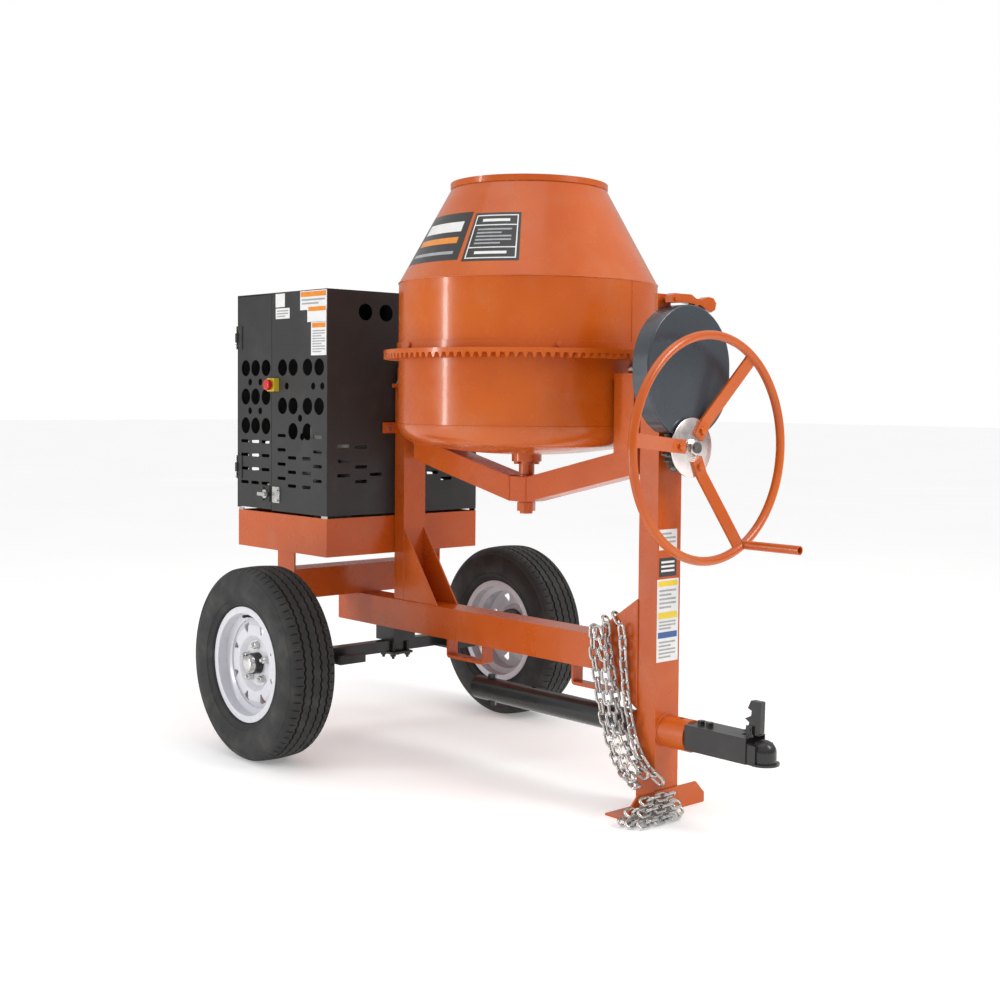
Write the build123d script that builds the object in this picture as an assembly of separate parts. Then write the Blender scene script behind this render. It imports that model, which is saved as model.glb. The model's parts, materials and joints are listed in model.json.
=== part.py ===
from build123d import *
import math
import os

os.makedirs("parts", exist_ok=True)

# ---------------------------------------------------------------------------
# Driving dimensions, in millimetres.  X runs forward from the axle to the
# tow coupler, Z is up, and the object is symmetric about the plane Y = 0.
# The model is drawn with X = 0 at the axle and moved back by ORIGIN_SHIFT.
# ---------------------------------------------------------------------------
ORIGIN_SHIFT = 560.5
TYRE_R = 305.0
TYRE_W = 175.0
TRACK = 1051.0
RIM_R = 182.0
SPINE_W, SPINE_BOT, SPINE_TOP = 90.0, 370.0, 470.0
SPINE_REAR = -272.0
REAR_POST = (51.0, 101.0)
FRONT_POST = (1174.0, 1244.0)
FRONT_POST_W = 95.0
POST_TOP = 1180.0
BEAM_X = (-248.0, -148.0)
BEAM_TOP = 570.0
PAN_X = (-492.0, 46.0)
PAN_Y = 316.0
PAN_Z = (627.0, 752.0)
BOX_X = (-500.0, 46.0)
BOX_Z = (760.0, 1496.0)
SHEET = 3.0
TILT_Z = 1234.0
WHEEL_Z = 1018.0
DRUM_X = 656.0
DRUM_R = 393.0
DRUM_T = 5.0
DISH_BOT, DISH_TOP = 978.0, 1068.0
SHOULDER_Z = 1491.0
CONE_TOP, MOUTH_TOP = 1776.0, 1794.0
MOUTH_R = 236.0
RING_TEETH, PINION_TEETH = 108, 9
RING_OUT = 438.0
YOKE_W = 76.0
YOKE_FRONT = (1062.0, 1138.0)
YOKE_REAR = (143.0, 219.0)
YOKE_MID = (834.0, 910.0)
YOKE_SLOPE = 13.1
YOKE_WALL = 6.0
DRUM_SHAFT_R = 19.5
GEAR_M = 6.0
TILT_TEETH, HAND_TEETH = 50, 22
GEAR_X = (1272.0, 1292.0)
COVER_X = (1256.0, 1312.0)
COVER_R = 169.0
HAND_X = 1387.0
HAND_R = 304.5
HAND_TUBE = 12.5
HUB_X = (1318.0, 1323.0)
POLE_Z = 228.0
POLE_R = 36.5
PULLEY_R, ENGINE_PULLEY_R = 150.0, 40.0
ENGINE_Z = 880.0
RUN = 0.05
REAR_TRUNNION_R, FRONT_TRUNNION_R = 26.0, 20.0
TRUNNION_BORE = 17.0


# ---------------------------------------------------------------------------
# Shape helpers
# ---------------------------------------------------------------------------
def block(x, y, z):
    """A box given by its low and high value along each axis."""
    size = (x[1] - x[0], y[1] - y[0], z[1] - z[0])
    return Pos((x[0] + x[1]) / 2, (y[0] + y[1]) / 2, (z[0] + z[1]) / 2) * Box(*size)


def rod_x(x, y, z, r):
    return Pos((x[0] + x[1]) / 2, y, z) * Rot(0, 90, 0) * Cylinder(r, x[1] - x[0])


def rod_y(x, y, z, r):
    return Pos(x, (y[0] + y[1]) / 2, z) * Rot(90, 0, 0) * Cylinder(r, y[1] - y[0])


def rod_z(x, y, z, r):
    return Pos(x, y, (z[0] + z[1]) / 2) * Cylinder(r, z[1] - z[0])


def side_plate(points, y):
    """A plate with an outline in X and Z, between two values of Y."""
    return extrude(Plane.XZ.offset(-y[1]) * Polygon(*points, align=None), y[1] - y[0], dir=(0, -1, 0))


def face_plate(points, x):
    """A plate with an outline in Y and Z, between two values of X."""
    return extrude(Plane.YZ.offset(x[0]) * Polygon(*points, align=None), x[1] - x[0], dir=(1, 0, 0))


def hex_x(x, y, z, flats):
    prism = extrude(RegularPolygon(flats / math.sqrt(3), 6), x[1] - x[0])
    return Pos(x[0], y, z) * Rot(0, 90, 0) * prism


def hex_y(x, y, z, flats):
    prism = extrude(RegularPolygon(flats / math.sqrt(3), 6), y[1] - y[0])
    return Pos(x, y[1], z) * Rot(90, 0, 0) * prism


def hex_z(x, y, z, flats):
    prism = extrude(RegularPolygon(flats / math.sqrt(3), 6), z[1] - z[0])
    return Pos(x, y, z[0]) * prism


def ring_z(z, outer, inner, x=0.0):
    return rod_z(x, 0, z, outer) - rod_z(x, 0, (z[0] - 1, z[1] + 1), inner)


def gear_face(teeth, root, tip, root_share, tip_share, phase):
    """A gear outline of straight-sided teeth; phase turns the first tooth."""
    pitch = 2 * math.pi / teeth
    points = []
    for k in range(teeth):
        mid = phase + k * pitch
        for radius, share in ((root, -root_share), (tip, -tip_share), (tip, tip_share), (root, root_share)):
            angle = mid + share * pitch
            points.append((radius * math.cos(angle), radius * math.sin(angle)))
    return Polygon(*points, align=None)


def save(name, *solids):
    """Write one node; several solids stay separate solids of the node."""
    flat = []
    for item in solids:
        flat.extend(item.solids())
    moved = [s.moved(Location((-ORIGIN_SHIFT, 0, 0))) for s in flat]
    shape = moved[0] if len(moved) == 1 else Compound(children=moved)
    export_step(shape, "parts/" + name + ".step")


# ---------------------------------------------------------------------------
# Frame
# ---------------------------------------------------------------------------
def spine_beam():
    half = SPINE_W / 2
    tube = block((SPINE_REAR, FRONT_POST[0]), (-half, half), (SPINE_BOT, SPINE_TOP))
    wall = 5.0
    inner = block((SPINE_REAR + 4, FRONT_POST[0] - 1), (wall - half, half - wall), (SPINE_BOT + wall, SPINE_TOP - wall))
    return tube - inner


def rear_post():
    post = block(REAR_POST, (-45, 45), (SPINE_TOP, POST_TOP))
    post -= block((REAR_POST[0] + 4, REAR_POST[1] - 4), (-41, 41), (SPINE_TOP + 4, POST_TOP - 6))
    tab = block((REAR_POST[0], REAR_POST[0] + 5), (-98, -45), (1028, 1064))
    tab -= rod_x((REAR_POST[0] - 1, REAR_POST[0] + 6), -72, 1046, 5.5)
    return post + tab


def rear_gussets():
    outline = ((REAR_POST[1], 712), (278, SPINE_TOP), (REAR_POST[1], SPINE_TOP))
    near = side_plate(outline, (-45, -39))
    far = side_plate(outline, (39, 45))
    return near, far


def front_gussets():
    top = ((1000, 474), (1174, 592), (1174, 284), (1058, 366))
    plates = []
    for low, high in ((-51, -45), (45, 51)):
        plate = side_plate(top, (low, high))
        plate -= rod_y(1104, (low - 1, high + 1), 512, 13)
        plate -= rod_y(1062, (low - 1, high + 1), 494, 8)
        plates.append(plate)
    return plates


def cross_beam():
    beam = block(BEAM_X, (-306, 306), (SPINE_TOP, BEAM_TOP))
    return beam - block((BEAM_X[0] + 5, BEAM_X[1] - 5), (-302, 302), (SPINE_TOP + 5, BEAM_TOP - 5))


def pan_legs():
    return [block(BEAM_X, y, (SPINE_TOP + 3, PAN_Z[0])) for y in ((-312, -306), (306, 312))]


def engine_pan():
    tray = block(PAN_X, (-PAN_Y, PAN_Y), PAN_Z)
    inner = block((PAN_X[0] + 4, PAN_X[1] - 4), (4 - PAN_Y, PAN_Y - 4), (PAN_Z[0] + 5, PAN_Z[1] + 1))
    return tray - inner


def front_post():
    half = FRONT_POST_W / 2
    post = block(FRONT_POST, (-half, half), (6, POST_TOP))
    post -= block((FRONT_POST[0] + 5, FRONT_POST[1] - 5), (5 - half, half - 5), (11, POST_TOP - 6))
    post -= rod_x((1100, 1300), 0, POLE_Z, 44.5)
    post -= rod_x((1100, 1300), 0, WHEEL_Z, 24)
    return post


def foot_plate():
    base = block((1160, FRONT_POST[1]), (-156, 156), (0, 6))
    outline = ((-156, 0), (156, 0), (156, 28), (121, 64), (-121, 64), (-156, 28))
    return base + face_plate(outline, (FRONT_POST[1], FRONT_POST[1] + 6))


def tow_sleeve():
    sleeve = rod_x((1138, 1340), 0, POLE_Z, 44.5)
    sleeve -= rod_x((1130, 1350), 0, POLE_Z, POLE_R + 0.5)
    return sleeve - rod_z(1302, 0, (POLE_Z, POLE_Z + 60), 9)


def fork_pockets():
    straps = []
    for rear, front in ((300, 484), (882, 1066)):
        outer = block((rear, front), (-20, 20), (304, SPINE_BOT))
        outer -= block((rear + 8, front - 8), (-21, 21), (314, SPINE_BOT + 1))
        straps.append(fillet(outer.edges().filter_by(Axis.Y).group_by(Axis.Z)[0], 12))
    return straps


def axle_beam():
    inboard = TRACK / 2 - 70
    beam = block((-19, 19), (-inboard, inboard), (286, 324))
    beam -= block((-14, 14), (5 - inboard, inboard - 5), (291, 319))
    outboard = TRACK / 2 + 34
    spindles = [rod_y(0, y, TYRE_R, 16) for y in ((-outboard, -inboard), (inboard, outboard))]
    return [beam] + spindles


def axle_saddle():
    """Spacer block, spring plates, two U-bolts and their lower plates."""
    solids = [block((-50, 50), (-45, 45), (324, SPINE_BOT))]
    for side in (-1, 1):
        y = (side * 236 - 50, side * 236 + 50)
        solids.append(block((-45, 84), y, (278, 286)))
        solids.append(block((70, 84), y, (286, 306)))
    for y in (-30, 30):
        for x in (-27, 27):
            solids.append(rod_z(x, y, (262, 324), 5))
            solids.append(hex_z(x, y, (270, 278), 17) - rod_z(x, y, (260, 290), 5))
    plate = block((-42, 42), (-42, 42), (278, 286))
    for y in (-30, 30):
        for x in (-27, 27):
            plate -= rod_z(x, y, (270, 300), 5)
    solids.append(plate)
    return solids


def bearing_block(x, bore, width):
    """A bearing block standing on a post on a wide bolted base."""
    base = block(x, (-width / 2, width / 2), (POST_TOP, POST_TOP + 14))
    body = rod_x(x, 0, TILT_Z, bore + 13) + block(x, (-bore - 13, bore + 13), (POST_TOP + 10, TILT_Z))
    body = body + base
    return body - rod_x((x[0] - 1, x[1] + 1), 0, TILT_Z, bore + RUN)


def shaft_bearings():
    rear = bearing_block((54, 98), REAR_TRUNNION_R, 124)
    front = bearing_block((1184, 1234), FRONT_TRUNNION_R, 112)
    sleeve = rod_x((FRONT_POST[0] - 8, FRONT_POST[1] + 12), 0, WHEEL_Z, 24)
    flange = rod_x((FRONT_POST[1], FRONT_POST[1] + 6), 0, WHEEL_Z, 38)
    hand = (sleeve + flange) - rod_x((1100, 1300), 0, WHEEL_Z, 15 + RUN)
    return rear, front, hand


def cover_outline(radius, lift):
    """Two arcs joined by straight sides, cut flat at the bottom."""
    upper = Pos(0, TILT_Z + 4) * Circle(radius)
    lower = Pos(0, TILT_Z - 22) * Circle(radius)
    sides = Pos(0, TILT_Z - 9) * Rectangle(2 * radius, 26)
    return upper + lower + sides - Pos(0, TILT_Z - 22 - radius) * Rectangle(2 * radius, 2 * lift)


def gear_cover():
    """Deep dished cover: front face, side wall, back plate, open at the pinion."""
    outer = extrude(Plane.YZ.offset(COVER_X[0]) * cover_outline(COVER_R, 0.1), COVER_X[1] - COVER_X[0])
    outer = fillet(outer.edges().group_by(Axis.X)[-1], 5)
    inner = extrude(Plane.YZ.offset(COVER_X[0] + SHEET) * cover_outline(COVER_R - SHEET, 0.1),
                    COVER_X[1] - COVER_X[0] - 2 * SHEET)
    cover = outer - inner
    cover -= rod_x((COVER_X[0] - 1, COVER_X[0] + 5), 0, TILT_Z, 26)
    cover -= rod_x((COVER_X[0] - 1, COVER_X[1] - SHEET), 0, WHEEL_Z, 82)
    cover -= block((COVER_X[0] + 8, COVER_X[1] - 8), (22, 62), (TILT_Z + 120, TILT_Z + 180))
    spacer = block((FRONT_POST[1], COVER_X[0]), (-40, 40), (1120, 1160))
    return cover, spacer


DOOR_HOLES = [(x, z) for x in (-447, -384, -318) for z in (1244, 1146, 1046)]
DOOR_SMALL = [(x, z) for x in (-419, -354) for z in (1196, 1097)]
DOOR_SLOTS = [(x, z) for x in (-452, -386, -320) for z in (992, 945, 897, 850)]
SIDE_HOLES = [(x, z) for x in (-216, -152, -67, 0) for z in (1244, 1116)] + [(-152, 1032), (-67, 1032)]
SIDE_SMALL = [(-190, 1182), (-34, 1182), (18, 1182), (-110, 1076), (-98, 1015)]
SIDE_SLOTS = [(x, z) for x in (-220, -8) for z in (1016, 968, 920, 872)]
SIDE_SLOTS += [(x, z) for x in (-157, -71) for z in (943, 895, 849)]
END_HOLES = [(y, 1427) for y in (-165, -81, 81, 165)]
END_SLOTS = [(y, z) for y in (-250, 250) for z in (987, 939, 891)]
END_SLOTS += [(y, z) for y in (-180, 180) for z in (983, 918, 870)] + [(-120, 892), (120, 892)]
HOLE_R, SMALL_R = 28.0, 12.0
SLOT_LONG, SLOT_HIGH = 50.0, 11.0


def pierced_y(panel, y, holes, small, slots):
    """Punch round holes and level slots through a panel that faces Y."""
    depth = (y[0] - 2, y[1] + 2)
    cuts = [rod_y(x, depth, z, HOLE_R) for x, z in holes] + [rod_y(x, depth, z, SMALL_R) for x, z in small]
    for x, z in slots:
        slot = Plane.XZ.offset(-depth[1]) * Pos(x, z) * SlotOverall(SLOT_LONG, SLOT_HIGH)
        cuts.append(extrude(slot, depth[1] - depth[0]))
    return panel.cut(*[c.solids()[0] for c in cuts])


def pierced_x(panel, x, holes, slots):
    """Punch round holes and level slots through a panel that faces X."""
    depth = (x[0] - 2, x[1] + 2)
    cuts = [rod_x(depth, y, z, HOLE_R) for y, z in holes]
    for y, z in slots:
        slot = Plane.YZ.offset(depth[0]) * Pos(y, z) * SlotOverall(SLOT_LONG, SLOT_HIGH)
        cuts.append(extrude(slot, depth[1] - depth[0]))
    return panel.cut(*[c.solids()[0] for c in cuts])


# ---------------------------------------------------------------------------
# Engine housing, its door and what it holds
# ---------------------------------------------------------------------------
DOOR_SEAM = -282.0
LATCH_X, LATCH_Z = -312.0, 815.0
KEEPER_X = (-272.0, -228.0)
HINGE_AT = (-500.5, -321.0)
HINGE_LEVELS = (900.0, 1350.0)


def housing_end_panels():
    front = block((BOX_X[1] - SHEET, BOX_X[1]), (-PAN_Y, PAN_Y), BOX_Z)
    front -= rod_x((BOX_X[1] - 5, BOX_X[1] + 1), 0, TILT_Z, 24)
    front = pierced_x(front, (BOX_X[1] - SHEET, BOX_X[1]), END_HOLES, END_SLOTS)
    rear = block((BOX_X[0], BOX_X[0] + SHEET), (-PAN_Y, PAN_Y), BOX_Z)
    return front, pierced_x(rear, (BOX_X[0], BOX_X[0] + SHEET), END_HOLES, END_SLOTS)


def housing_top():
    top = block((BOX_X[0] + SHEET, BOX_X[1] - SHEET), (-PAN_Y, PAN_Y), (BOX_Z[1] - SHEET, BOX_Z[1]))
    return top - rod_z(-150, 215, (BOX_Z[1] - 5, BOX_Z[1] + 1), 30)


def housing_side_panels():
    z = (BOX_Z[0], BOX_Z[1] - SHEET)
    near = block((DOOR_SEAM + 1, BOX_X[1] - SHEET), (-PAN_Y, SHEET - PAN_Y), z)
    near = pierced_y(near, (-PAN_Y, SHEET - PAN_Y), SIDE_HOLES, SIDE_SMALL, SIDE_SLOTS)
    far = block((BOX_X[0] + SHEET, BOX_X[1] - SHEET), (PAN_Y - SHEET, PAN_Y), z)
    holes, small, slots = DOOR_HOLES + SIDE_HOLES, DOOR_SMALL + SIDE_SMALL, DOOR_SLOTS + SIDE_SLOTS
    return near, pierced_y(far, (PAN_Y - SHEET, PAN_Y), holes, small, slots)


def housing_feet():
    """Four rubber spacers that hold the housing off the pan."""
    return [block((x, x + 30), y, (PAN_Z[1], BOX_Z[0]))
            for x in (PAN_X[0] + 1, PAN_X[1] - 31) for y in ((-316, -312), (312, 316))]


def knuckle(z, low, high):
    x, y = HINGE_AT
    return rod_z(x, y, (z + low, z + high), 4.5)


def door_hardware():
    """Fixed hinge halves with their pins, and the keeper plate by the seam."""
    x, y = HINGE_AT
    keeper = block(KEEPER_X, (-PAN_Y - 4, -PAN_Y), (LATCH_Z - 27, LATCH_Z + 27))
    solids = [fillet(keeper.edges().filter_by(Axis.Y), 5)]
    solids += [hex_y(KEEPER_X[1] - 12, (-PAN_Y - 8, -PAN_Y - 4), LATCH_Z + dz, 10) for dz in (-18, 18)]
    for z in HINGE_LEVELS:
        leaf = block((x - 3.5, x + 0.5), (y, y + 34), (z - 40, z + 40))
        leaf -= block((x - 6, x + 6), (y - 6, y + 4.8), (z - 15.3, z + 15.3))
        body = leaf + knuckle(z, -40, -15.3) + knuckle(z, 15.3, 40)
        pin = rod_z(x, y, (z - 15.3, z + 15.3), 2.5)
        solids.append(body + pin)
    return solids


def near_door():
    door = block((BOX_X[0] + 5, DOOR_SEAM - 1), (-PAN_Y, SHEET - PAN_Y), (BOX_Z[0] + 3, BOX_Z[1] - SHEET - 2))
    door = pierced_y(door, (-PAN_Y, SHEET - PAN_Y), DOOR_HOLES, DOOR_SMALL, DOOR_SLOTS)
    door -= rod_y(LATCH_X, (-320, -310), LATCH_Z, 6)
    x, y = HINGE_AT
    solids = [door]
    for z in HINGE_LEVELS:
        leaf = block((x + 6, x + 32), (-PAN_Y - 3, -PAN_Y), (z - 40, z + 40))
        arm = block((x, x + 6), (y - 2, y + 2), (z - 15, z + 15)) + knuckle(z, -15, 15)
        arm = arm + block((x + 4, x + 8), (y - 2, -PAN_Y), (z - 15, z + 15))
        solids.append((leaf + arm) - rod_z(x, y, (z - 16, z + 16), 2.5 + RUN))
    plate = block((LATCH_X - 26, LATCH_X + 22), (-PAN_Y - 3, -PAN_Y), (LATCH_Z - 27, LATCH_Z + 27))
    solids.append(plate - rod_y(LATCH_X, (-330, -300), LATCH_Z, 6))
    solids += [hex_y(LATCH_X - 16, (-PAN_Y - 7, -PAN_Y - 3), LATCH_Z + dz, 10) for dz in (-18, 18)]
    return solids


def door_latch():
    """Quarter-turn latch: a tee handle outside, a cam inside."""
    stem = rod_y(LATCH_X, (-330, -306), LATCH_Z, 6 - RUN)
    disc = rod_y(LATCH_X, (-326, 2 * -PAN_Y + 312.5), LATCH_Z, 15)
    grip = block((LATCH_X - 24, LATCH_X + 24), (-340, -326), (LATCH_Z - 6, LATCH_Z + 6))
    cam = block((LATCH_X - 6, LATCH_X + 6), (-309, -306), (LATCH_Z - 7, LATCH_Z + 34))
    return stem + disc + fillet(grip.edges().filter_by(Axis.Y), 4) + cam


def engine_block():
    """Crank case on two rails, with a finned, tilted cylinder."""
    case = block((-330, -110), (-110, 110), (700, 950))
    case = fillet(case.edges().filter_by(Axis.X), 24)
    case -= rod_x((-150, -100), 0, ENGINE_Z, 12.5 + RUN)
    barrel = None
    for k in range(7):
        fin = Pos(-220, 108 + 14 * k, 880) * Box(150, 7, 150)
        core = Pos(-220, 115 + 14 * k, 880) * Box(110, 8, 110)
        piece = fin + core
        barrel = piece if barrel is None else barrel + piece
    rails = [block((x, x + 45), (-130, 110), (PAN_Z[0] + 5, 700)) for x in (-320, -165)]
    return case + barrel, rails[0], rails[1]


def engine_fittings():
    """Recoil starter housing behind the crank case and an air cleaner beside it."""
    starter = rod_x((-400, -330), 0, 845, 105)
    starter = fillet(starter.edges().group_by(Axis.X)[0], 22)
    cleaner = fillet(block((-290, -170), (-215, -110), (830, 940)).edges(), 14)
    return starter, cleaner


def fuel_tank():
    tank = fillet(block((-345, -100), (-130, 98), (951, 1062)).edges(), 26)
    neck = rod_z(-225, -16, (1055, 1080), 26)
    return tank + neck


def muffler():
    body = fillet(block((-215, -85), (206, 276), (966, 1056)).edges(), 16)
    pipe = rod_z(-150, 241, (1050, 1110), 13)
    return body + pipe


def belt_loop(grow):
    wide = Pos(0, TILT_Z) * Circle(PULLEY_R + grow)
    small = Pos(0, ENGINE_Z) * Circle(ENGINE_PULLEY_R + grow)
    return make_hull((wide + small).edges())


def drive_belt():
    loop = belt_loop(8.0) - belt_loop(0.4)
    return extrude(Plane.YZ.offset(-9.5) * loop, 19)


def pulley(z, radius):
    """A flanged pulley around the X axis, with no bore yet."""
    drum = rod_x((-14, 14), 0, z, radius)
    for low, high in ((-14, -10.5), (10.5, 14)):
        drum += rod_x((low, high), 0, z, radius + 11)
    return drum


def driven_pulley():
    wheel = pulley(TILT_Z, PULLEY_R) - rod_x((-20, 20), 0, TILT_Z, 14)
    for k in range(5):
        angle = math.radians(72 * k + 36)
        wheel -= rod_x((-20, 20), 85 * math.cos(angle), TILT_Z + 85 * math.sin(angle), 30)
    return wheel


def engine_pulley():
    return pulley(ENGINE_Z, ENGINE_PULLEY_R) + rod_x((-140, 20), 0, ENGINE_Z, 12.5)


ESTOP = (-259.0, 1186.0)


def estop_base():
    x, z = ESTOP
    base = fillet(block((x - 22, x + 22), (-336, -PAN_Y), (z - 22, z + 22)).edges().filter_by(Axis.Y), 5)
    return base - rod_y(x, (-337, -325), z, 8.1)


def estop_button():
    x, z = ESTOP
    stem = rod_y(x, (-342, -330), z, 8)
    head = rod_y(x, (-356, -341), z, 18)
    return stem + fillet(head.edges().group_by(Axis.Y)[0], 5)


# ---------------------------------------------------------------------------
# Yoke and its trunnions
# ---------------------------------------------------------------------------
YOKE_HALF = YOKE_W / 2
MID = (DRUM_X - 38.0, DRUM_X + 38.0)


def bar_height(x):
    """How far the V of the yoke has risen at this X."""
    return max(0.0, abs(x - DRUM_X) - 38.0) * math.tan(math.radians(YOKE_SLOPE))


def yoke_bars():
    """Two sloping square tubes, closed at their outer ends."""
    solids = []
    low, high = YOKE_MID
    half = YOKE_HALF - YOKE_WALL
    for inner, outer, way in ((MID[0], YOKE_REAR[0], 1), (MID[1], YOKE_FRONT[1], -1)):
        end = outer + way * YOKE_WALL
        outline = ((inner, low), (outer, low + bar_height(outer)), (outer, high + bar_height(outer)), (inner, high))
        hollow = ((inner, low + YOKE_WALL), (end, low + YOKE_WALL + bar_height(end)),
                  (end, high - YOKE_WALL + bar_height(end)), (inner, high - YOKE_WALL))
        solids.append(side_plate(outline, (-YOKE_HALF, YOKE_HALF)) - side_plate(hollow, (-half, half)))
    return solids


def yoke_uprights():
    high = YOKE_MID[1]
    half = YOKE_HALF - YOKE_WALL
    solids = []
    for (rear, front), bore in ((YOKE_REAR, REAR_TRUNNION_R), (YOKE_FRONT, FRONT_TRUNNION_R)):
        outline = ((rear, high + bar_height(rear)), (front, high + bar_height(front)), (front, 1221), (rear, 1221))
        upright = side_plate(outline, (-YOKE_HALF, YOKE_HALF))
        floor = high + max(bar_height(rear), bar_height(front)) + YOKE_WALL
        upright -= block((rear + YOKE_WALL, front - YOKE_WALL), (-half, half), (floor, 1196))
        solids.append(upright - rod_x((rear - 1, front + 1), 0, TILT_Z, bore))
    return solids


def yoke_hub():
    body = block(MID, (-YOKE_HALF, YOKE_HALF), YOKE_MID) + rod_z(DRUM_X, 0, (YOKE_MID[1], 916), 26)
    return body - rod_z(DRUM_X, 0, (800, 1000), DRUM_SHAFT_R + RUN)


def trunnions():
    bore = rod_x((40, 230), 0, TILT_Z, TRUNNION_BORE)
    rear = rod_x((52, YOKE_REAR[1]), 0, TILT_Z, REAR_TRUNNION_R) - bore
    front = rod_x((1098, 1306), 0, TILT_Z, FRONT_TRUNNION_R)
    running = rod_x((40, 230), 0, TILT_Z, 14 + RUN)
    bushes = [rod_x(x, 0, TILT_Z, TRUNNION_BORE) - running for x in ((52, 82), (189, 219))]
    return [rear, front] + bushes


def tilt_gear():
    pitch = GEAR_M * TILT_TEETH / 2
    face = gear_face(TILT_TEETH, pitch - 7.5, pitch + 5, 0.36, 0.115, -math.pi / 2)
    gear = Pos(0, 0, TILT_Z) * extrude(Plane.YZ.offset(GEAR_X[0]) * face, GEAR_X[1] - GEAR_X[0])
    gear += rod_x((1262, 1300), 0, TILT_Z, 36)
    for k in range(6):
        angle = math.radians(60 * k)
        gear -= rod_x((1270, 1305), 92 * math.cos(angle), TILT_Z + 92 * math.sin(angle), 26)
    return gear - rod_x((1260, 1310), 0, TILT_Z, 20)


# ---------------------------------------------------------------------------
# Drum and its drive
# ---------------------------------------------------------------------------
def turned(points):
    """A solid of revolution about the drum axis from radius and height pairs."""
    return Pos(DRUM_X, 0, 0) * revolve(Plane.XZ * Polygon(*points, align=None), Axis.Z)


def dish_curve(offset):
    """Crown and knuckle of the dished bottom, moved inward by offset."""
    crown = ThreePointArc((0, DISH_BOT + offset), (190, 987 + offset), (330, 1008 + offset))
    knuckle_mid = (376 - 0.8 * offset, 1030 + 0.6 * offset)
    knuckle_arc = ThreePointArc((330, 1008 + offset), knuckle_mid, (DRUM_R - offset, DISH_TOP))
    return crown, knuckle_arc


def drum_dish():
    out_crown, out_knuckle = dish_curve(0)
    in_crown, in_knuckle = dish_curve(DRUM_T)
    rim = Line((DRUM_R, DISH_TOP), (DRUM_R - DRUM_T, DISH_TOP))
    axis = Line((0, DISH_BOT), (0, DISH_BOT + DRUM_T))
    face = make_face([out_crown, out_knuckle, rim, in_knuckle, in_crown, axis])
    return Pos(DRUM_X, 0, 0) * revolve(Plane.XZ * face, Axis.Z)


def drum_cylinder():
    return ring_z((DISH_TOP, SHOULDER_Z), DRUM_R, DRUM_R - DRUM_T, DRUM_X)


def drum_cone():
    cone = turned(((DRUM_R, SHOULDER_Z), (MOUTH_R, CONE_TOP), (MOUTH_R - DRUM_T, CONE_TOP), (DRUM_R - DRUM_T, SHOULDER_Z)))
    band = ring_z((CONE_TOP, MOUTH_TOP), MOUTH_R + 3, MOUTH_R - DRUM_T, DRUM_X)
    return cone + band


def ring_gear():
    """Toothed ring around the drum; its teeth point down."""
    ring = ring_z((1276, 1289), RING_OUT, DRUM_R)
    profile = Polygon((-7.4, 14.2), (-2.7, 0), (2.7, 0), (7.4, 14.2), align=None)
    tooth = Pos(0, 0, 1262) * extrude(Plane.YZ.offset(405) * profile, RING_OUT - 405 - 0.5)
    pitch = 360.0 / RING_TEETH
    ring = ring.fuse(*[(Rot(0, 0, pitch * k) * tooth).solids()[0] for k in range(RING_TEETH)])
    flange = ring_z((1289, 1312), DRUM_R + 5, DRUM_R)
    screw = hex_x((DRUM_R + 5, DRUM_R + 12), 0, 1301, 15)
    bolts = [Rot(0, 0, 72 * k - 30) * screw for k in range(5)]
    return [Pos(DRUM_X, 0, 0) * s for s in [ring, flange] + bolts]


def mixing_blades():
    """Three canted paddles welded to the inside of the drum wall."""
    inside = Cylinder(DRUM_R - DRUM_T, 700)
    solids = []
    for k in range(3):
        plate = Pos(310, 0, 0) * Rot(24, 0, 0) * Box(190, 8, 330)
        blade = (Rot(0, 0, 120 * k + 50) * plate) & inside
        solids.append(Pos(DRUM_X, 0, 1262) * blade)
    return solids


def drum_shaft():
    """Stub shaft with its bolted flange on the dish and the nut below the yoke."""
    shaft = rod_z(DRUM_X, 0, (796, 918), DRUM_SHAFT_R) + rod_z(DRUM_X, 0, (918, 956), 24)
    flange = rod_z(DRUM_X, 0, (956, DISH_BOT + 4), 46) - drum_dish()
    bolts = []
    for k in range(6):
        angle = math.radians(60 * k + 15)
        x, y = DRUM_X + 35.5 * math.cos(angle), 35.5 * math.sin(angle)
        bolts.append(hex_z(x, y, (948, 956), 14))
    nut = hex_z(DRUM_X, 0, (804, 831), 50) - rod_z(DRUM_X, 0, (790, 840), DRUM_SHAFT_R)
    return [shaft + flange, nut] + bolts


def drive_pinion():
    face = gear_face(PINION_TEETH, 26, 40, 0.27, 0.093, math.pi / 2 + math.pi / PINION_TEETH)
    gear = Pos(0, 0, TILT_Z) * extrude(Plane.YZ.offset(221) * face, 28)
    return gear + rod_x((-18, 230), 0, TILT_Z, 14)


# ---------------------------------------------------------------------------
# Hand wheel
# ---------------------------------------------------------------------------
SPOKES = (175.0, 55.0, -65.0)


def handwheel_rim():
    """Rim and three flat spokes that lie on the hub disc and slant out to the rim."""
    rim = Pos(HAND_X, 0, WHEEL_Z) * Rot(0, 90, 0) * Torus(HAND_R, HAND_TUBE)
    low, high = HUB_X[1], HUB_X[1] + 8
    outline = ((low, 34), (high, 34), (high, 84), (HAND_X + 3, HAND_R), (HAND_X - 5, HAND_R), (low, 84))
    for angle in SPOKES:
        rim += Pos(0, 0, WHEEL_Z) * Rot(angle - 90, 0, 0) * side_plate(outline, (-19, 19))
    return rim


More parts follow.
